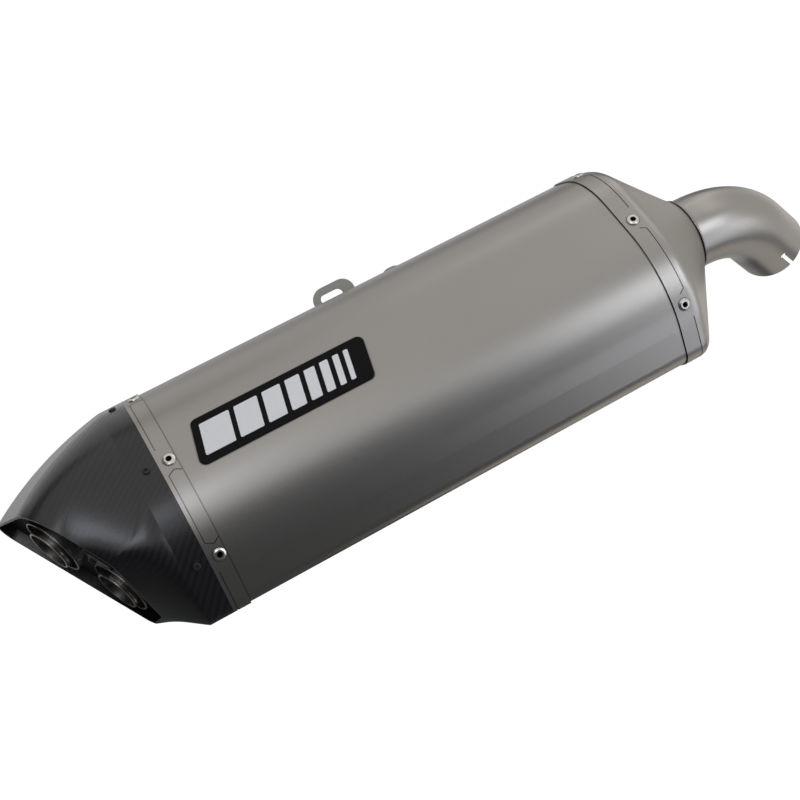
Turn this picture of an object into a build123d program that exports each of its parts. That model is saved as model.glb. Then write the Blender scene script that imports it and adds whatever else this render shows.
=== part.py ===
"""Motorcycle slip-on muffler: a long canister of rounded six-sided section, hung from one slotted
bracket. A bent slip-joint pipe leads in at the front, and two outlets leave a slanted end cap.

All sizes are in millimetres. The origin is the centre of the inlet pipe's mouth. +X runs along the
canister towards the inlet, +Z is up the tall way of its section, and +Y is the wheel side."""

import os
from math import cos, radians, sin

from build123d import *

os.makedirs("parts", exist_ok=True)

# ---------------------------------------------------------------- driving dimensions

SLEEVE_LENGTH = 400  # from the front seam to the rear seam
SHEET = 1.0  # sleeve, pipes and the core are rolled from this
PRESSING = 1.5  # baffles and flanges are pressed from this
GAP = 0.15  # room between two skins that slide together
LIFT = 1.2  # how far the cap skirts and the band stand above the sleeve
LAP = 14  # how far the front cap and the rear band lie along the sleeve
SEAT = 0.1  # room left under a part that is fastened onto a face, and round a fastener

# Corners of the section before rounding, as (across, up) from the canister's axis, and their radii.
# The knee is the ridge along the outer flank.
SECTION = {
    "top": ((-25, 78), 68),
    "knee": ((-79, -21.5), 89),
    "keel": ((-42, -90), 15),
    "inner_floor": ((51, -87), 18),
    "inner_top": ((51, 91), 20),
}

# Inlet pipe: a straight stub out of the cone, one bend, and a straight socket.
PIPE_RADIUS = 30
PIPE_WALL = 1.2
PIPE_STUB = 7
PIPE_TUCK = 10  # how far the pipe runs back inside the cone
BEND_RADIUS = 82
BEND_ANGLE = 55
BEND_ROLL = 50  # the bend leans this far from straight down towards the wheel side
SOCKET_LENGTH = 34
SLOT_WIDTH = 3
SLOT_DEPTH = 17
SLOT_FOOT = 2.6  # radius of the round end of each slot

# Front cap: a straight skirt, cut off on a lean, and then a cone down to the pipe.
CONE_START = 21
CONE_LEAN = 4.5  # the skirt is shorter at the top
CONE_END = 64
CONE_ROUNDING = 14
BEAD_RADIUS = 1

# End cap: a straight shoulder, and then walls that lead to a leaning mouth.
SHOULDER = 19
CAP_WALL = 2
ROOF_BULGE = 5.5  # how far the roof stands above a straight run, half way along
MOUTH_PITCH = 30
MOUTH_YAW = 13.5
MOUTH_CENTRE = (-482, 0, -10.5)

# The mouth's corners in its own plane, as (across, up) from its centre, and their radii.
MOUTH = {
    "top": ((-54, 58), 38),
    "knee": ((-64, -10), 15),
    "keel": ((-8, -70), 10),
    "inner_floor": ((30, -74), 8),
    "inner_top": ((56, 66), 14),
}

# Outlets: each is a pipe with a smaller damper insert standing out of it.
OUTLET_PITCH = 21
OUTLET_YAW = 12.7
OUTLET_RADIUS = 25
OUTLET_CENTRES = {"upper": (-493.2, -4, 12.9), "lower": (-464.1, 5, -36.9)}
INSERT_RADIUS = 18
INSERT_WALL = 1.3
INSERT_PROUD = 4
INSERT_LENGTH = 60
FLANGE_DEPTH = 11
LIP = 0.8  # radius of the rolled lip on each tube
PLATE_DEPTH = 8
CLIP_UP = -3
CLIP_TIP = 0
CLIP_BASE = 24
CLIP_SPREAD = 14
CLIP_CORNER = 1.5

# Inside: baffles, the perforated core, its steel-wool wrap and the packing round it.
BULKHEAD_STATION = -401
PIPE_TAIL = 6  # how far the outlet pipes stand in front of the bulkhead
BAFFLE_STATION = -332
CORE_RADIUS = PIPE_RADIUS - PIPE_WALL - GAP
CORE_REACH = 70
FLANGE = 14
BULKHEAD_FLANGE = 22
WRAP_THICKNESS = 4
PACKING_INSET = 6
PACKING_ROOM = 1  # left between the packing and the baffle at each end

PERFORATION = 2.5
PERFORATION_ROWS = 16
PERFORATIONS_ROUND = 10  # an even number, as each pair is drilled right through
PERFORATION_PITCH = 20

# Lines engraved round the front cap and the rear band, each broken near the fasteners.
GROOVE_WIDTH = 0.7
GROOVE_DEPTH = 0.5
GROOVE_INSET = 13.5  # from the front seam
REAR_GROOVE_INSET = 3.3  # from the rear seam
GROOVE_BREAK = 12
GROOVE_TURN = 9
TURNED_ENDS = ((3, 1), (4, -1), (5, -1))  # a fastener's number, and which side of it

# Fasteners.
FASTENER_COUNT = 6
FIRST_FASTENER = 0.1  # share of the way round the outline
FASTENER_STEP = 0.155  # share from each to the next, which leaves a longer gap on the wheel side
RIVET_INSET = 9  # from each seam
HEAD_SEAT = 0.05  # room under each head
RIVET_HEAD = 5
RIVET_HEIGHT = 1.5
RIVET_CHAMFER = (1.2, 0.6)  # across and up
RIVET_EASE = 0.4
RIVET_SHANK = 3.2
RIVET_BORE = 2.3
RIVET_BULGE = 0.9  # how far the blind end swells over the shank
RIVET_TAIL = 1.8
SCREW_RADIUS = 2
SCREW_HEAD = 2.8
SCREW_HEIGHT = 1.4
SCREW_ROUNDING = 0.6
SCREW_SOCKET = 0.9
SCREW_LENGTH = 6

# Hanger bracket on the wheel side.
SLOT_CENTRE = (-208, 90.8)
SLOT_SIZE = (20, 8.5)
EAR_CENTRE = (-205.9, 90.8)
EAR_SIZE = (36.8, 21)
HANGER_THICKNESS = 3
HANGER_STEP = 4  # the ear stands this much further out than the base
STEP_START = 65
STEP_END = 71
BASE_CENTRE = (-185, 35)
BASE_SIZE = (96, 56)
BASE_CORNER = 8
BASE_RIVET_INSET = 8
LUG_CENTRE = (-153.5, 75)
LUG_SIZE = (20, 32)
WEB_CORNER = 6
BACKING_THICKNESS = 2

# Badge on the outer flank.
BADGE_STATION = -298
BADGE_LENGTH = 143
BADGE_HEIGHT = 38
BADGE_SLANT = 9
BADGE_DROP = 55  # from the section's top corner, down the flank
BADGE_THICKNESS = 0.9
BADGE_CORNER = 5
BADGE_MARGIN = 6
BADGE_GAP = 4
BAR_SEAT = 0.02  # room under the bars
BAR_RISE = 0.3  # how far the bars stand above the plate
BAR_CORNER = 1
BADGE_BARS = (24, 19, 15, 12, 9, 7, 5, 4)

# ---------------------------------------------------------------- the frame

bend = radians(BEND_ANGLE)
roll = radians(BEND_ROLL)
bend_side = Vector(0, sin(roll), -cos(roll))
pipe_reach = PIPE_STUB + BEND_RADIUS * sin(bend) + SOCKET_LENGTH * cos(bend)
pipe_drop = BEND_RADIUS * (1 - cos(bend)) + SOCKET_LENGTH * sin(bend)
seam_centre = Vector(-CONE_END - pipe_reach, 0, 0) - bend_side * pipe_drop

# Local x is across towards the wheel, local y is up, and local z is forwards along the canister.
front_seam = Plane(origin=seam_centre, x_dir=(0, 1, 0), z_dir=(1, 0, 0))


def station(distance):
    """The cross-section plane this far in front of the front seam."""
    return front_seam.offset(distance)


def place(along, across, up):
    """A point given from the centre of the front seam."""
    return seam_centre + Vector(along, across, up)


def rearward(pitch, yaw):
    """The direction out of the rear end, turned down by pitch and outwards by yaw."""
    level = -cos(radians(yaw))
    return Vector(level * cos(radians(pitch)), -sin(radians(yaw)), level * sin(radians(pitch)))


rear_seam = -SLEEVE_LENGTH
shoulder = rear_seam - SHOULDER


def leaning(share):
    """The section plane this share of the way along the end cap, from its shoulder to its mouth."""
    start = place(shoulder, 0, MOUTH_CENTRE[2])
    forward = -rearward(MOUTH_PITCH * share, MOUTH_YAW * share)
    return Plane(
        origin=start + (place(*MOUTH_CENTRE) - start) * share,
        x_dir=Vector(0, 0, 1).cross(forward),
        z_dir=forward,
    )


mouth_plane = leaning(1)

# ---------------------------------------------------------------- shapes used more than once


def rounded(corners, radii, grow):
    """A filled section with these corners and radii, grown outwards."""
    with BuildSketch(mode=Mode.PRIVATE) as face:
        with BuildLine():
            FilletPolyline(*corners, radius=radii, close=True)
        make_face()
        if grow:
            offset(amount=grow)
    return face.sketch


def outline(grow=0):
    """The canister's section, grown outwards."""
    corners = [corner for corner, radius in SECTION.values()]
    radii = [radius for corner, radius in SECTION.values()]
    return rounded(corners, radii, grow)


def cap_outline(share, grow):
    """The end cap's section where leaning(share) cuts it."""
    plane = leaning(share)
    corners = []
    radii = []
    for name, (corner, radius) in SECTION.items():
        mouth_corner, mouth_radius = MOUTH[name]
        start = station(shoulder).from_local_coords(corner)
        run = mouth_plane.from_local_coords(mouth_corner) - start
        reach = (plane.origin - start).dot(plane.z_dir) / run.dot(plane.z_dir)
        across, up, _ = plane.to_local_coords(start + run * reach)
        if name in ("top", "inner_top"):
            up += ROOF_BULGE * 4 * share * (1 - share)
        corners.append((across, up))
        radii.append(mouth_radius + (radius - mouth_radius) * (1 - share) ** 3)
    return rounded(corners, radii, grow)


def ring(start, end, outside, inside):
    """A length of skin between two stations, from outline(outside) in to outline(inside)."""
    with BuildPart() as skin:
        with BuildSketch(station(start)):
            add(outline(outside))
            add(outline(inside), mode=Mode.SUBTRACT)
        extrude(amount=end - start)
    return skin.part


def fastener_places(along):
    """Where the fasteners stand on the raised skin, from the wheel side down and round to the top.

    Each place has z pointing outwards and x pointing forwards."""
    rim = outline(LIFT).wire()
    places = []
    for number in range(FASTENER_COUNT):
        share = FIRST_FASTENER + number * FASTENER_STEP
        point = rim.position_at(share)
        run = rim.tangent_at(share)
        outward = Vector(run.Y, -run.X, 0)
        if outward.dot(point) < 0:
            outward = -outward
        seat = Plane(point, x_dir=(0, 0, 1), z_dir=outward)
        places.append(station(along).location * seat.location)
    return places


def rivet(grip):
    """A hollow blind rivet that stands on z = 0, its blind side bulged past the grip."""
    brow = RIVET_HEAD - RIVET_EASE
    with BuildPart() as body:
        with BuildSketch(Plane.XZ) as half:
            with BuildLine():
                Polyline(
                    (RIVET_BORE, RIVET_HEIGHT),
                    (brow - RIVET_CHAMFER[0], RIVET_HEIGHT),
                    (brow, RIVET_HEIGHT - RIVET_CHAMFER[1]),
                    (RIVET_HEAD, HEAD_SEAT),
                    (RIVET_SHANK, HEAD_SEAT),
                    (RIVET_SHANK, -grip),
                    (RIVET_SHANK + RIVET_BULGE, -grip - RIVET_TAIL / 3),
                    (RIVET_SHANK, -grip - RIVET_TAIL),
                    (RIVET_BORE, -grip - RIVET_TAIL),
                    close=True,
                )
            make_face()
        revolve(axis=Axis.Z)
    return body.part


def screw():
    """A button-head socket screw whose head stands on z = 0."""
    with BuildPart() as body:
        with BuildSketch(Plane.XY.offset(HEAD_SEAT)):
            Circle(SCREW_HEAD)
        extrude(amount=SCREW_HEIGHT)
        fillet(body.edges().group_by(Axis.Z)[-1], SCREW_ROUNDING)
        with BuildSketch(Plane.XY.offset(HEAD_SEAT + SCREW_HEIGHT)):
            RegularPolygon(SCREW_HEAD / 2, 6)
        extrude(amount=-SCREW_SOCKET, mode=Mode.SUBTRACT)
        with BuildSketch(Plane.XY.offset(HEAD_SEAT)):
            Circle(SCREW_RADIUS)
        extrude(amount=-SCREW_LENGTH)
    return body.part


def engraving(layer, line, places, reaches):
    """Lines cut into a layer of skin at one station, broken near each fastener.

    Where a broken end turns in towards its fastener, a stroke runs from beside the fastener to each
    of the reaches, which are distances in front of it."""
    with BuildPart() as cuts:
        with Locations(station(line).location):
            Box(SLEEVE_LENGTH, SLEEVE_LENGTH, GROOVE_WIDTH)
        with Locations(*places):
            Box(4 * LAP, 2 * GROOVE_BREAK, 4 * LAP, mode=Mode.SUBTRACT)
        for number, side in TURNED_ENDS:
            for reach in reaches:
                with BuildSketch(Plane(places[number])):
                    with BuildLine():
                        Line((0, side * GROOVE_TURN), (reach, side * GROOVE_BREAK))
                    trace(line_width=GROOVE_WIDTH)
                extrude(amount=LIFT + SHEET, both=True)
        add(layer, mode=Mode.INTERSECT)
    return cuts.part


front_places = fastener_places(RIVET_INSET)
rear_places = fastener_places(rear_seam + RIVET_INSET)
cap_places = fastener_places(rear_seam - RIVET_INSET)
hole_depth = 2 * (LIFT + SHEET + PRESSING)
rivet_hole = RIVET_SHANK + SEAT
screw_hole = SCREW_RADIUS + SEAT

# The wheel-side wall is flat. Its plane has x forwards along the canister, and z inwards.
wall_face = Plane(
    origin=place(0, SECTION["inner_top"][0][0] + SEAT, 0), x_dir=(1, 0, 0), z_dir=(0, -1, 0)
)
rivet_spread = [size / 2 - BASE_RIVET_INSET for size in BASE_SIZE]
bracket_places = [
    wall_face.offset(-HANGER_THICKNESS).location
    * Pos(BASE_CENTRE[0] + along * rivet_spread[0], BASE_CENTRE[1] + up * rivet_spread[1], 0)
    * Rot(180, 0, 0)
    for along in (-1, 1)
    for up in (-1, 1)
]

# ---------------------------------------------------------------- canister skin

with BuildPart() as outer_sleeve:
    add(ring(rear_seam, LAP, 0, -SHEET))
    with Locations(*front_places, *rear_places):
        Hole(rivet_hole, depth=hole_depth)
    with Locations(*bracket_places):
        Hole(rivet_hole, depth=hole_depth + HANGER_THICKNESS)

with BuildPart() as rear_band:
    add(ring(rear_seam, rear_seam + LAP, LIFT, GAP))
    with Locations(*rear_places):
        Hole(rivet_hole, depth=hole_depth)
    layer = ring(rear_seam, rear_seam + LAP, LIFT, LIFT - GROOVE_DEPTH)
    reaches = (REAR_GROOVE_INSET - RIVET_INSET, LAP - RIVET_INSET)
    add(
        engraving(layer, rear_seam + REAR_GROOVE_INSET, rear_places, reaches),
        mode=Mode.SUBTRACT,
    )


def cone_body(inset):
    """The front cap's skirt and cone as one solid, inside its outer face by the inset."""
    crease_plane = station(CONE_START).rotated((-CONE_LEAN, 0, 0))
    with BuildPart() as body:
        with BuildSketch(station(0)):
            add(outline(LIFT - inset))
        extrude(amount=CONE_END)
        split(bisect_by=crease_plane, keep=Keep.BOTTOM)
        crease = body.faces().sort_by(Axis.X)[-1]
        with BuildSketch(station(CONE_END)) as tip:
            Circle(PIPE_RADIUS + GAP + SHEET - inset)
        loft(sections=[crease, tip.sketch.face()], ruled=True)
        fillet(
            body.edges().filter_by(lambda edge: crease_plane.contains(edge.center())),
            CONE_ROUNDING - inset,
        )
    return body.part


with BuildPart() as front_cap:
    add(cone_body(0))
    add(cone_body(LIFT - GAP), mode=Mode.SUBTRACT)
    with Locations(*front_places):
        Hole(rivet_hole, depth=hole_depth)
    with BuildPart(mode=Mode.PRIVATE) as layer:
        add(cone_body(0))
        add(cone_body(GROOVE_DEPTH), mode=Mode.SUBTRACT)
    reaches = (GROOVE_INSET - RIVET_INSET,)
    add(engraving(layer.part, GROOVE_INSET, front_places, reaches), mode=Mode.SUBTRACT)


def cap_body(grow):
    """The end cap's shoulder and closing walls as one solid, as far as the mouth."""
    with BuildPart() as body:
        with BuildSketch(station(rear_seam)):
            add(outline(grow))
        extrude(amount=-SHOULDER)
        for share in (0, 0.5, 1):
            with BuildSketch(leaning(share)):
                add(cap_outline(share, grow))
        loft()
    return body.part


with BuildPart() as end_cap:
    add(cap_body(LIFT))
    add(cap_body(LIFT - CAP_WALL), mode=Mode.SUBTRACT)
    with Locations(*cap_places):
        Hole(screw_hole, depth=hole_depth)

# ---------------------------------------------------------------- inlet pipe

bend_plane = Plane(origin=place(0, 0, 0), x_dir=(1, 0, 0), z_dir=Vector(1, 0, 0).cross(bend_side))

with BuildPart() as inlet_pipe:
    with BuildLine(bend_plane) as centreline:
        stub = Line((CONE_END - PIPE_TUCK, 0), (CONE_END + PIPE_STUB, 0))
        elbow = JernArc(stub @ 1, stub % 1, BEND_RADIUS, BEND_ANGLE)
        socket = Line(elbow @ 1, elbow @ 1 + SOCKET_LENGTH * (elbow % 1))
    with BuildSketch(Plane(origin=centreline.line @ 0, z_dir=(1, 0, 0))):
        Circle(PIPE_RADIUS)
        Circle(PIPE_RADIUS - PIPE_WALL, mode=Mode.SUBTRACT)
    sweep()

    socket_plane = Plane(origin=socket @ 1, x_dir=bend_plane.z_dir, z_dir=socket % 1)
    with Locations(socket_plane):
        with PolarLocations(PIPE_RADIUS, 2):
            Box(8 * PIPE_WALL, SLOT_WIDTH, 2 * SLOT_DEPTH, mode=Mode.SUBTRACT)
    with Locations(socket_plane.offset(-SLOT_DEPTH)):
        Cylinder(SLOT_FOOT, 3 * PIPE_RADIUS, rotation=(0, 90, 0), mode=Mode.SUBTRACT)

with BuildPart() as inlet_weld:
    with BuildSketch(Plane(origin=place(CONE_END, 0, 0), x_dir=(1, 0, 0), z_dir=(0, -1, 0))):
        with Locations((BEAD_RADIUS + SEAT, PIPE_RADIUS + BEAD_RADIUS + SEAT)):
            Circle(BEAD_RADIUS)
    revolve(axis=Axis(place(0, 0, 0), (1, 0, 0)))

# ---------------------------------------------------------------- outlets

outlet_direction = rearward(OUTLET_PITCH, OUTLET_YAW)
outlet_planes = {
    name: Plane(origin=place(*centre), z_dir=outlet_direction)
    for name, centre in OUTLET_CENTRES.items()
}
bulkhead_x = station(BULKHEAD_STATION).origin.X
outlet_pipes = {}
damper_inserts = {}
for name, mouth in outlet_planes.items():
    reach = (bulkhead_x + PIPE_TAIL - mouth.origin.X) / -outlet_direction.X

    with BuildPart() as outlet_pipe:
        with BuildSketch(mouth):
            Circle(OUTLET_RADIUS)
            Circle(OUTLET_RADIUS - SHEET, mode=Mode.SUBTRACT)
        extrude(amount=-reach)
        with Locations(mouth.offset(-LIP)):
            Torus(OUTLET_RADIUS - SHEET / 2, LIP)
    outlet_pipes[name] = outlet_pipe.part

    with BuildPart() as damper_insert:
        with BuildSketch(mouth.offset(INSERT_PROUD)):
            Circle(INSERT_RADIUS)
        extrude(amount=-INSERT_LENGTH)
        with BuildSketch(mouth.offset(-FLANGE_DEPTH)):
            Circle(OUTLET_RADIUS - SHEET - GAP)
        extrude(amount=-PRESSING)
        with Locations(mouth.offset(INSERT_PROUD - LIP)):
            Torus(INSERT_RADIUS - SHEET / 2, LIP)
        with BuildSketch(mouth.offset(INSERT_PROUD)):
            Circle(INSERT_RADIUS - INSERT_WALL)
        extrude(amount=-INSERT_LENGTH, both=True, mode=Mode.SUBTRACT)
    damper_inserts[name] = damper_insert.part


def outlet_bores(clearance):
    """Solid bars where the two outlet pipes run, wider than the pipes by the clearance."""
    with BuildPart() as bars:
        for mouth in outlet_planes.values():
            with BuildSketch(mouth):
                Circle(OUTLET_RADIUS + clearance)
            extrude(amount=SLEEVE_LENGTH / 2, both=True)
    return bars.part


# Both faces look back out of the mouth: local x is across, away from the wheel, and y is up.
plate_face = Plane(mouth_plane.offset(PLATE_DEPTH).location * Rot(0, 180, 0))
clip_face = plate_face.offset(SEAT)
clip_screw_place = clip_face.offset(PRESSING).location * Pos((CLIP_TIP + CLIP_BASE) / 2, CLIP_UP, 0)

with BuildPart() as outlet_plate:
    add(cap_body(LIFT - CAP_WALL - GAP))
    split(bisect_by=plate_face, keep=Keep.BOTTOM)
    split(bisect_by=plate_face.offset(-PRESSING), keep=Keep.TOP)
    add(outlet_bores(LIP + GAP), mode=Mode.SUBTRACT)
    with Locations(clip_screw_place):
        Hole(screw_hole, depth=hole_depth)

with BuildPart() as insert_clip:
    with BuildSketch(clip_face):
        with BuildLine():
            FilletPolyline(
                (CLIP_TIP, CLIP_UP),
                (CLIP_BASE, CLIP_UP + CLIP_SPREAD),
                (CLIP_BASE, CLIP_UP - CLIP_SPREAD),
                radius=CLIP_CORNER,
                close=True,
            )
        make_face()
    extrude(amount=PRESSING)
    add(outlet_bores(LIP + GAP), mode=Mode.SUBTRACT)
    with Locations(clip_screw_place):
        Hole(screw_hole, depth=hole_depth)

# ---------------------------------------------------------------- inside the canister

def baffle(at, flange, holes):
    """A pressed plate across the sleeve, its rim turned along the sleeve by the flange."""
    with BuildPart() as dish:
        with BuildSketch(station(at)):
            add(outline(-SHEET - GAP))
        extrude(amount=PRESSING)
        add(ring(min(at, at + flange), max(at, at + flange), -SHEET - GAP, -SHEET - GAP - PRESSING))
        if holes == "core":
            with BuildSketch(station(at)):
                Circle(CORE_RADIUS + GAP)
            extrude(amount=PRESSING, mode=Mode.SUBTRACT)
        else:
            add(outlet_bores(GAP), mode=Mode.SUBTRACT)
    return dish.part


with BuildPart() as front_baffle:
    add(baffle(0, FLANGE, "core"))
    with Locations(*front_places):
        Hole(rivet_hole, depth=hole_depth + PRESSING)

with BuildPart() as middle_baffle:
    add(baffle(BAFFLE_STATION, -FLANGE, "core"))

with BuildPart() as rear_bulkhead:
    add(baffle(BULKHEAD_STATION, -FLANGE, "outlets"))
    add(baffle(BULKHEAD_STATION, BULKHEAD_FLANGE, "outlets"))
    with Locations(*rear_places):
        Hole(rivet_hole, depth=hole_depth + PRESSING)
    with Locations(*cap_places):
        Hole(screw_hole, depth=hole_depth + PRESSING)

with BuildPart() as perforated_core:
    with BuildSketch(station(BAFFLE_STATION - FLANGE)):
        Circle(CORE_RADIUS)
        Circle(CORE_RADIUS - SHEET, mode=Mode.SUBTRACT)
    extrude(amount=CORE_REACH - BAFFLE_STATION + FLANGE)
    half_pitch = 180 / PERFORATIONS_ROUND
    for row in range(PERFORATION_ROWS):
        with Locations(station(-PERFORATION_PITCH * (row + 1))):
            with PolarLocations(0, PERFORATIONS_ROUND // 2, start_angle=half_pitch * (row % 2)):
                Cylinder(PERFORATION, 3 * CORE_RADIUS, rotation=(0, 90, 0), mode=Mode.SUBTRACT)

packing_start = BAFFLE_STATION + PRESSING + PACKING_ROOM
packing_length = -PACKING_ROOM - packing_start
wrap_radius = CORE_RADIUS + WRAP_THICKNESS

with BuildPart() as core_wrap:
    with BuildSketch(station(packing_start)):
        Circle(wrap_radius)
        Circle(CORE_RADIUS + GAP, mode=Mode.SUBTRACT)
    extrude(amount=packing_length)

with BuildPart() as absorption_packing:
    with BuildSketch(station(packing_start)):
        add(outline(-PACKING_INSET))
        Circle(wrap_radius + GAP, mode=Mode.SUBTRACT)
    extrude(amount=packing_length)

# ---------------------------------------------------------------- hanger bracket

with BuildPart() as hanger_bracket:
    # The strip from the side: flat along the sleeve, and then stepped out to carry the ear.
    with BuildSketch(Plane.YZ.offset(place(0, 0, 0).X)):
        with BuildLine():
            middle = wall_face.origin.Y + HANGER_THICKNESS / 2
            Polyline(
                (middle, place(0, 0, BASE_CENTRE[1] - BASE_SIZE[1] / 2).Z),
                (middle, place(0, 0, STEP_START).Z),
                (middle + HANGER_STEP, place(0, 0, STEP_END).Z),
                (middle + HANGER_STEP, place(0, 0, EAR_CENTRE[1] + EAR_SIZE[1]).Z),
            )
        trace(line_width=HANGER_THICKNESS)
    extrude(amount=-SLEEVE_LENGTH)
    with BuildSketch(wall_face):
        with Locations(BASE_CENTRE):
            RectangleRounded(*BASE_SIZE, BASE_CORNER)
        with Locations(EAR_CENTRE):
            SlotOverall(*EAR_SIZE)
            Rectangle(EAR_SIZE[0], EAR_CENTRE[1] - BASE_CENTRE[1], align=(Align.CENTER, Align.MAX))
        with Locations(LUG_CENTRE):
            RectangleRounded(*LUG_SIZE, BASE_CORNER)
        offset(amount=WEB_CORNER)
        offset(amount=-WEB_CORNER)
        with Locations(SLOT_CENTRE):
            SlotOverall(*SLOT_SIZE, mode=Mode.SUBTRACT)
    extrude(amount=4 * HANGER_STEP, both=True, mode=Mode.INTERSECT)
    with Locations(*bracket_places):
        Hole(rivet_hole, depth=2 * HANGER_THICKNESS)

with BuildPart() as bracket_backing:
    with BuildSketch(wall_face.offset(SEAT + SHEET + GAP)):
        with Locations(BASE_CENTRE):
            RectangleRounded(*BASE_SIZE, BASE_CORNER)
    extrude(amount=BACKING_THICKNESS)
    with Locations(*bracket_places):
        Hole(rivet_hole, depth=4 * HANGER_THICKNESS)

bracket_grip = HANGER_THICKNESS + 2 * SEAT + SHEET + GAP + BACKING_THICKNESS

with BuildPart() as bracket_rivets:
    with Locations(*bracket_places):
        add(rivet(bracket_grip))

# ---------------------------------------------------------------- fasteners

rivet_grip = LIFT + SHEET + GAP + PRESSING

with BuildPart() as front_rivets:
    with Locations(*front_places):
        add(rivet(rivet_grip))

with BuildPart() as rear_rivets:
    with Locations(*rear_places):
        add(rivet(rivet_grip))

with BuildPart() as cap_screws:
    with Locations(*cap_places):
        add(screw())

with BuildPart() as clip_screw:
    with Locations(clip_screw_place):
        add(screw())

# ---------------------------------------------------------------- badge

flank_top, flank_knee = Vector(*SECTION["top"][0]), Vector(*SECTION["knee"][0])
flank_down = (flank_knee - flank_top).normalized()
badge_middle = flank_top + flank_down * BADGE_DROP
flank = Plane(
    origin=place(BADGE_STATION, badge_middle.X, badge_middle.Y),
    x_dir=(1, 0, 0),
    z_dir=(0, flank_down.Y, -flank_down.X),
)
badge_start = BADGE_STATION - BADGE_LENGTH
badge_end = BADGE_STATION + BADGE_LENGTH


def slanted(left, right, height, radius):
    """A bar across the badge with its ends leaning forwards, as an outline to be filled."""
    lean = BADGE_SLANT / BADGE_HEIGHT * height / 2
    return FilletPolyline(
        (left - lean, -height / 2),
        (right - lean, -height / 2),
        (right + lean, height / 2),
        (left + lean, height / 2),
        radius=radius,
        close=True,
    )


with BuildPart() as badge_plate:
    add(ring(badge_start, badge_end, BADGE_THICKNESS, GAP))
    with BuildSketch(flank):
        with BuildLine():
            slanted(-BADGE_LENGTH / 2, BADGE_LENGTH / 2, BADGE_HEIGHT, BADGE_CORNER)
        make_face()
    extrude(amount=BADGE_HEIGHT / 2, both=True, mode=Mode.INTERSECT)

with BuildPart() as badge_bars:
    add(ring(badge_start, badge_end, BADGE_THICKNESS + BAR_RISE, BADGE_THICKNESS + BAR_SEAT))
    with BuildSketch(flank):
        left = BADGE_MARGIN - BADGE_LENGTH / 2
        for width in BADGE_BARS:
            with BuildLine():
                slanted(left, left + width, BADGE_HEIGHT - 2 * BADGE_MARGIN, BAR_CORNER)
            make_face()
            left += width + BADGE_GAP
    extrude(amount=BADGE_HEIGHT / 2, both=True, mode=Mode.INTERSECT)

# ---------------------------------------------------------------- one file for each piece

pieces = {
    "outer_sleeve": outer_sleeve.part,
    "rear_band": rear_band.part,
    "front_cap": front_cap.part,
    "end_cap": end_cap.part,
    "inlet_pipe": inlet_pipe.part,
    "inlet_weld": inlet_weld.part,
    "outlet_pipe_upper": outlet_pipes["upper"],
    "outlet_pipe_lower": outlet_pipes["lower"],
    "damper_insert_upper": damper_inserts["upper"],
    "damper_insert_lower": damper_inserts["lower"],
    "outlet_plate": outlet_plate.part,
    "insert_clip": insert_clip.part,
    "clip_screw": clip_screw.part,
    "front_baffle": front_baffle.part,
    "middle_baffle": middle_baffle.part,
    "rear_bulkhead": rear_bulkhead.part,
    "perforated_core": perforated_core.part,
    "core_wrap": core_wrap.part,
    "absorption_packing": absorption_packing.part,
    "hanger_bracket": hanger_bracket.part,
    "bracket_backing": bracket_backing.part,
    "bracket_rivets": bracket_rivets.part,
    "front_rivets": front_rivets.part,
    "rear_rivets": rear_rivets.part,
    "cap_screws": cap_screws.part,
    "badge_plate": badge_plate.part,
    "badge_bars": badge_bars.part,
}
for name, piece in pieces.items():
    piece.label = name
    export_step(piece, f"parts/{name}.step")
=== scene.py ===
"""The look of the muffler: materials for each piece, a plain studio, and the camera."""

from math import cos, pi, radians, sin

import bpy
from mathutils import Matrix, Vector


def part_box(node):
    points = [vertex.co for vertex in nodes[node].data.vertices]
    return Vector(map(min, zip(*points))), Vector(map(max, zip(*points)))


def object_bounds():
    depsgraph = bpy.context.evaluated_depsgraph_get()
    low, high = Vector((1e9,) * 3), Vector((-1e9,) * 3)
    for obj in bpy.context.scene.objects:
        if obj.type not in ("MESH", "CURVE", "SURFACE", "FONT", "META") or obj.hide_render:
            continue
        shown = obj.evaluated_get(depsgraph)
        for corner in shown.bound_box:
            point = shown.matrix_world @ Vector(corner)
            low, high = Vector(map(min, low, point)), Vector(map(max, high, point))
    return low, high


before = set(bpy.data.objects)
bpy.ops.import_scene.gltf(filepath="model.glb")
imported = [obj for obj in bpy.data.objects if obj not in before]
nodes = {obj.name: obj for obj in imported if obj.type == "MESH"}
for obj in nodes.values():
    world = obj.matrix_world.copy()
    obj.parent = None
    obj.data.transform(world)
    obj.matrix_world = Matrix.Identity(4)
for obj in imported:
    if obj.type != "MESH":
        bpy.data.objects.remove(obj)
cad_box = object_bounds()
centre = Vector([(low + high) / 2 for low, high in zip(*cad_box)])
MM = 0.001

# Carbon twill: each tow passes over two and under two, so the pattern repeats every four.
TOW_WIDTH = 1.7 * MM
TWILL_REPEAT = 4
TWILL_OVER = 2
CAP_RADIUS = 70 * MM  # turns an angle round the end cap into a length of cloth

# Narrow gaps and grooves are painted dark: painted shade in the crevices.
CREVICE_WIDTH = 1.4 * MM
CREVICE_SHADE = 0.02  # the least share of the colour that is left

# Colours of light.
DAYLIGHT = (1.0, 0.98, 0.95)
WALL_BOUNCE = (1.0, 0.96, 0.9)
FLOOR_BOUNCE = (1.0, 0.95, 0.86)
PALE_BLUE = (0.9, 0.93, 1.0)
SOFT_BLUE = (0.88, 0.91, 1.0)
CLEAR_BLUE = (0.84, 0.88, 1.0)
WHITE = (1, 1, 1)

# The camera's place and turn. It is rolled, so that the canister rises to the right.
FOCAL_LENGTH = 59.9
CAMERA_PLACE = (-0.5867, -1.0651, 0.0298)
CAMERA_YAW = -12.15
CAMERA_ROLL = -27.79

# ---------------------------------------------------------------- node helpers


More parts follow.
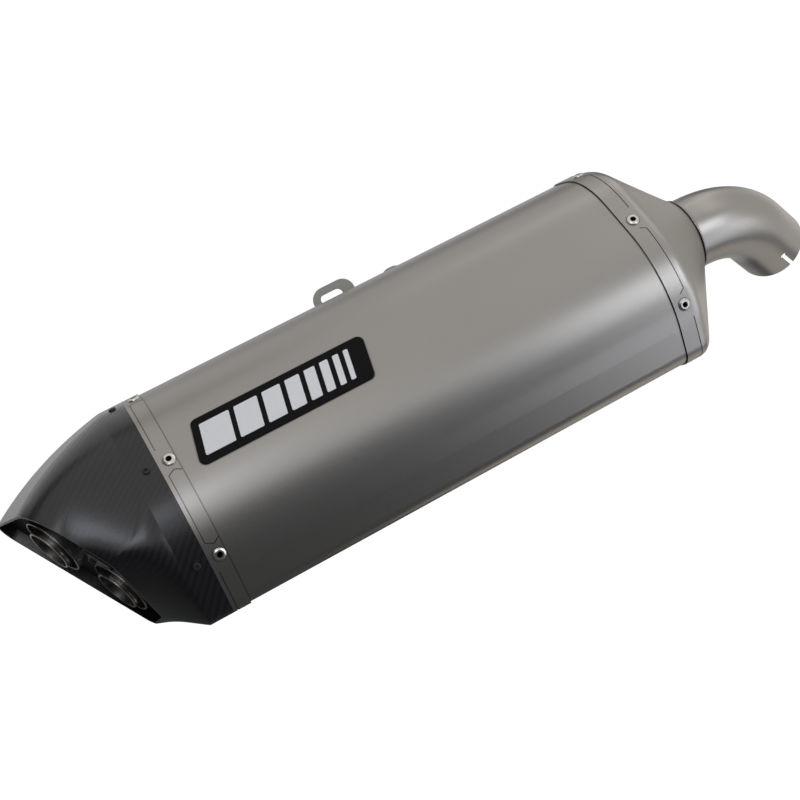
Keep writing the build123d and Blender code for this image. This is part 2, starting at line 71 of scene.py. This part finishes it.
class Recipe:
    """A material being built: adds nodes and joins them up."""

    def __init__(self, name):
        self.material = bpy.data.materials.new(name)
        self.material.use_nodes = True
        self.tree = self.material.node_tree
        self.shader = self.tree.nodes["Principled BSDF"]

    def add(self, kind, **settings):
        """A node of this kind, its settings and input values taken from the keywords."""
        node = self.tree.nodes.new(kind)
        for key, value in settings.items():
            if hasattr(node, key):
                setattr(node, key, value)
            else:
                node.inputs[key].default_value = value
        return node

    def join(self, source, target):
        """Links an output socket to an input socket."""
        self.tree.links.new(source, target)

    def set(self, **values):
        """Constant values on the shader's own sockets, named with _ for a space."""
        for key, value in values.items():
            self.shader.inputs[key.replace("_", " ")].default_value = value

    def position(self):
        """Where the surface point is, in metres, in the frame that all the pieces share."""
        return self.add("ShaderNodeTexCoord").outputs["Object"]

    def math(self, operation, first, second=0.0):
        """A math node; either operand may be a socket or a number."""
        node = self.add("ShaderNodeMath", operation=operation)
        for slot, value in enumerate((first, second)):
            if isinstance(value, bpy.types.NodeSocket):
                self.join(value, node.inputs[slot])
            else:
                node.inputs[slot].default_value = value
        return node.outputs[0]

    def stretched(self, scale):
        """The position with each axis scaled."""
        mapping = self.add("ShaderNodeMapping")
        mapping.inputs["Scale"].default_value = scale
        self.join(self.position(), mapping.inputs["Vector"])
        return mapping.outputs[0]

    def noise(self, scale, detail=4.0, vector=None):
        """Noise from 0 to 1 with features about 1/scale metres across."""
        node = self.add("ShaderNodeTexNoise", Scale=scale, Detail=detail)
        self.join(vector or self.position(), node.inputs["Vector"])
        return node.outputs[0]

    def range(self, value, low, high):
        """Maps 0..1 onto low..high."""
        node = self.add("ShaderNodeMapRange")
        node.inputs["To Min"].default_value = low
        node.inputs["To Max"].default_value = high
        self.join(value, node.inputs["Value"])
        return node.outputs[0]

    def blend(self, factor, low, high):
        """A colour between two others."""
        node = self.add("ShaderNodeMix", data_type="RGBA")
        self.join(factor, node.inputs["Factor"])
        sockets = [socket for socket in node.inputs if socket.type == "RGBA"]
        for socket, colour in zip(sockets, (low, high)):
            socket.default_value = (*colour, 1)
        return next(socket for socket in node.outputs if socket.type == "RGBA")

    def bump(self, height, distance, strength):
        """Bump from a height socket. A height of 1 stands for this distance in metres."""
        node = self.add("ShaderNodeBump", Strength=strength, Distance=distance)
        self.join(height, node.inputs["Height"])
        self.join(node.outputs[0], self.shader.inputs["Normal"])

    def colour(self, socket):
        """Joins a socket to the shader's colour."""
        self.join(socket, self.shader.inputs["Base Color"])

    def painted_crevice_shade(self, socket):
        """The colour with painted shade darkening narrow gaps, grooves and corners."""
        shade = self.add("ShaderNodeAmbientOcclusion", samples=8, Distance=CREVICE_WIDTH)
        openness = self.math("POWER", shade.outputs["AO"], 2.0)
        gain = self.range(openness, CREVICE_SHADE, 1.0)
        node = self.add("ShaderNodeVectorMath", operation="SCALE")
        self.join(socket, node.inputs[0])
        self.join(gain, node.inputs["Scale"])
        return node.outputs[0]

    def roughness(self, socket):
        """Joins a socket to the shader's roughness."""
        self.join(socket, self.shader.inputs["Roughness"])


def satin_metal(name, dark, light, rough, grain=900.0):
    """Bead-blasted metal: a fine even grain under a slow drift in tone."""
    recipe = Recipe(name)
    recipe.set(Metallic=1.0)
    fine = recipe.noise(grain, 3.0)
    drift = recipe.noise(9.0, 2.0)
    grain_share = recipe.math("MULTIPLY", fine, 0.45)
    drift_share = recipe.math("MULTIPLY", drift, 0.55)
    tone = recipe.math("ADD", grain_share, drift_share)
    # Painted shade darkens the colour in gaps, grooves and corners.
    recipe.colour(recipe.painted_crevice_shade(recipe.blend(tone, dark, light)))
    recipe.roughness(recipe.range(fine, rough - 0.05, rough + 0.07))
    recipe.bump(fine, 0.02 * MM, 0.35)
    return recipe.material


def polished_metal(name, colour, rough):
    """Turned and polished steel, with fine rings of wear and a faint heat tint."""
    recipe = Recipe(name)
    recipe.set(Metallic=1.0)
    streak = recipe.noise(160.0, 5.0, recipe.stretched((6.0, 1.0, 1.0)))
    tint = [channel * factor for channel, factor in zip(colour, (0.78, 0.72, 0.66))]
    recipe.colour(recipe.blend(streak, tint, colour))
    recipe.roughness(recipe.range(streak, rough, rough + 0.16))
    recipe.bump(streak, 0.03 * MM, 0.3)
    return recipe.material


def carbon_weave():
    """Clear-coated carbon twill, its tows running along the cap and round it."""
    recipe = Recipe("carbon_twill")
    recipe.set(Coat_Weight=1.0, Coat_Roughness=0.26, Specular_IOR_Level=0.15)
    _, cap_y, cap_z = [(low + high) / 2 for low, high in zip(*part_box("end_cap"))]
    split = recipe.add("ShaderNodeSeparateXYZ")
    recipe.join(recipe.position(), split.inputs[0])
    x, y, z = split.outputs
    across = recipe.math("SUBTRACT", y, cap_y)
    up = recipe.math("SUBTRACT", z, cap_z)
    around = recipe.math("MULTIPLY", recipe.math("ARCTAN2", up, across), CAP_RADIUS)
    counts = []
    crowns = []
    for length in (x, around):
        # A metre is added first, so that the count of tows is never below zero.
        tows = recipe.math("DIVIDE", recipe.math("ADD", length, 1.0), TOW_WIDTH)
        half_turn = recipe.math("MULTIPLY", recipe.math("FRACT", tows), pi)
        counts.append(recipe.math("FLOOR", tows))
        crowns.append(recipe.math("SINE", half_turn))
    step = recipe.math("MODULO", recipe.math("ADD", *counts), TWILL_REPEAT)
    over = recipe.math("LESS_THAN", step, TWILL_OVER)
    under = recipe.math("SUBTRACT", 1.0, over)
    warp = recipe.math("MULTIPLY", over, crowns[0])
    weft = recipe.math("MULTIPLY", under, crowns[1])
    height = recipe.math("ADD", warp, weft)
    fibres = recipe.noise(2600.0, 2.0)
    # The weave is real, but its tows on top are painted lighter: a painted sheen for how they catch the
    # light. The fibre noise is random tone.
    shade = recipe.math("MULTIPLY", recipe.math("ADD", over, fibres), 0.5)
    recipe.colour(recipe.blend(shade, (0.005, 0.005, 0.006), (0.016, 0.016, 0.019)))
    recipe.roughness(recipe.range(over, 0.30, 0.46))
    recipe.bump(height, 0.08 * MM, 0.3)
    return recipe.material


def painted(name, dark, light, rough, shine=0.25, grain=500.0):
    """A coating with a faint orange-peel surface and slightly uneven tone."""
    recipe = Recipe(name)
    recipe.set(Specular_IOR_Level=shine)
    peel = recipe.noise(grain, 2.0)
    recipe.colour(recipe.blend(peel, dark, light))
    recipe.roughness(recipe.range(peel, rough - 0.05, rough + 0.08))
    recipe.bump(peel, 0.04 * MM, 0.3)
    return recipe.material


def matted(name, dark, light, scale):
    """Loose fibre: long tangled strands at two scales."""
    recipe = Recipe(name)
    strands = recipe.noise(scale, 8.0, recipe.stretched((0.3, 1.0, 1.0)))
    recipe.colour(recipe.blend(strands, dark, light))
    recipe.roughness(recipe.range(strands, 0.75, 0.95))
    recipe.bump(strands, 0.8 * MM, 0.8)
    return recipe.material


# ---------------------------------------------------------------- which piece wears what

titanium = satin_metal("satin_titanium", (0.36, 0.345, 0.325), (0.43, 0.415, 0.395), 0.35)
bracket_metal = satin_metal("bracket_titanium", (0.28, 0.27, 0.255), (0.36, 0.345, 0.325), 0.45)
inner_steel = satin_metal("inner_steel", (0.34, 0.33, 0.32), (0.5, 0.49, 0.47), 0.45, 400.0)
weld_metal = satin_metal("weld_bead", (0.3, 0.28, 0.26), (0.4, 0.375, 0.35), 0.35, 1500.0)
outlet_steel = polished_metal("outlet_steel", (0.5, 0.49, 0.48), 0.22)
rivet_metal = polished_metal("rivet_steel", (0.85, 0.85, 0.84), 0.2)
finishes = {
    titanium: ("outer_sleeve", "rear_band", "front_cap", "inlet_pipe"),
    bracket_metal: ("hanger_bracket",),
    weld_metal: ("inlet_weld",),
    carbon_weave(): ("end_cap",),
    outlet_steel: (
        "outlet_pipe_upper",
        "outlet_pipe_lower",
        "damper_insert_upper",
        "damper_insert_lower",
        "insert_clip",
    ),
    rivet_metal: ("front_rivets", "rear_rivets", "bracket_rivets"),
    painted("black_plate", (0.012, 0.012, 0.012), (0.03, 0.029, 0.028), 0.5): ("outlet_plate",),
    painted("black_screw", (0.02, 0.02, 0.02), (0.05, 0.05, 0.05), 0.35): ("cap_screws", "clip_screw"),
    painted("badge_black", (0.003, 0.003, 0.004), (0.007, 0.007, 0.008), 0.5, 0.1): ("badge_plate",),
    painted("badge_light", (0.8, 0.81, 0.83), (0.88, 0.89, 0.91), 0.4): ("badge_bars",),
    inner_steel: (
        "front_baffle",
        "middle_baffle",
        "rear_bulkhead",
        "perforated_core",
        "bracket_backing",
    ),
    matted("steel_wool", (0.12, 0.12, 0.12), (0.4, 0.4, 0.39), 700.0): ("core_wrap",),
    matted("glass_wool", (0.55, 0.52, 0.42), (0.86, 0.84, 0.75), 260.0): ("absorption_packing",),
}
for material, names in finishes.items():
    for name in names:
        nodes[name].data.materials.clear()
        nodes[name].data.materials.append(material)

# ---------------------------------------------------------------- studio


def bowl(name, radius, depth, rings=24, sides=48):
    """A floor that sweeps up into a closed backdrop, far outside the object."""
    points = []
    faces = []
    for ring in range(1, rings):
        polar = pi * ring / rings
        height = -cos(polar) * (depth if polar < pi / 2 else radius)
        for side in range(sides):
            turn = 2 * pi * side / sides
            reach = radius * sin(polar)
            points.append((reach * cos(turn), reach * sin(turn), height))
    last = (rings - 2) * sides  # the first point of the last ring
    for start in range(0, last, sides):
        for side in range(sides):
            here = start + side
            beside = start + (side + 1) % sides
            faces.append((here, beside, beside + sides, here + sides))
    faces.append(range(sides))
    faces.append(range(last, last + sides))
    mesh = bpy.data.meshes.new(name)
    mesh.from_pydata(points, [], faces)
    surface = bpy.data.objects.new(name, mesh)
    bpy.context.scene.collection.objects.link(surface)
    return surface


floor = bowl("studio_floor", 14.0, 3.0)
floor.data.materials.append(painted("pale_floor", (0.9, 0.9, 0.9), (0.92, 0.92, 0.92), 0.9, grain=3.0))
glow = floor.data.materials[0].node_tree.nodes["Principled BSDF"]
glow.inputs["Emission Color"].default_value = (1, 1, 1, 1)
glow.inputs["Emission Strength"].default_value = 1.0
# The backdrop is only seen. The object isn't lit by it and doesn't mirror it.
for ray in ("diffuse", "glossy", "transmission", "volume_scatter", "shadow"):
    setattr(floor, "visible_" + ray, False)

world = bpy.data.worlds.new("studio")
bpy.context.scene.world = world
world.use_nodes = True
sky = world.node_tree.nodes["Background"]
sky.inputs["Color"].default_value = (0.95, 0.97, 1.0, 1)
sky.inputs["Strength"].default_value = 0.07


def softbox(name, colour, direction, distance, size, brightness):
    """An area light this far from the object's centre, facing it, with an even brightness."""
    width, height = size
    light = bpy.data.lights.new(name, "AREA")
    light.shape = "RECTANGLE"
    light.size, light.size_y = width, height
    light.energy = brightness * pi * width * height
    light.color = colour
    lamp = bpy.data.objects.new(name, light)
    bpy.context.scene.collection.objects.link(lamp)
    out = Vector(direction).normalized()
    lamp.location = centre + out * distance
    lamp.rotation_euler = out.to_track_quat("Z", "Y").to_euler()


# Broad lights from above and in front, which give the upper flank its even tone.
softbox("overhead", DAYLIGHT, (0.1, -0.6, 0.8), distance=1.7, size=(3.4, 2.2), brightness=0.62)
softbox("top_back", DAYLIGHT, (0.1, 0.35, 0.95), distance=1.7, size=(3.2, 1.3), brightness=0.62)
softbox("front", WHITE, (0.0, -1.0, 0.16), distance=2.2, size=(3.0, 0.7), brightness=0.72)

# Small bright ones for the highlights along the knee and on the end cap's crease.
softbox("front_right", PALE_BLUE, (0.62, -0.8, -0.1), distance=1.3, size=(0.6, 0.45), brightness=3.1)
softbox("front_left", CLEAR_BLUE, (-0.32, -0.88, 0.35), distance=1.3, size=(0.4, 0.34), brightness=3.4)

# Fill for the lower flank, the pipe and its underside.
softbox("under_right", SOFT_BLUE, (0.66, -0.5, -0.56), distance=1.3, size=(0.8, 0.9), brightness=1.25)
softbox("floor_glow", FLOOR_BOUNCE, (0.44, 0.33, -0.84), distance=1.45, size=(1.0, 0.8), brightness=0.62)
softbox("right_end", WALL_BOUNCE, (1.0, -0.05, 0.1), distance=1.3, size=(1.8, 2.4), brightness=0.58)

# Fill for the wheel side.
softbox("wheel_side", WHITE, (-0.1, 0.9, 0.3), distance=1.7, size=(3.0, 1.6), brightness=0.45)
softbox("wheel_right", WHITE, (0.62, 0.75, -0.15), distance=1.7, size=(1.7, 1.7), brightness=0.5)

# ---------------------------------------------------------------- camera

camera = bpy.data.objects.new("camera", bpy.data.cameras.new("camera"))
bpy.context.scene.collection.objects.link(camera)
camera.data.sensor_width = 36
camera.data.lens = FOCAL_LENGTH
camera.data.clip_end = 60
camera.location = CAMERA_PLACE
yaw = Matrix.Rotation(radians(CAMERA_YAW), 4, "Z")
level = Matrix.Rotation(radians(90), 4, "X")
roll = Matrix.Rotation(radians(CAMERA_ROLL), 4, "Z")
camera.rotation_euler = (yaw @ level @ roll).to_euler()
bpy.context.scene.camera = camera
bpy.context.scene.view_settings.view_transform = "Standard"
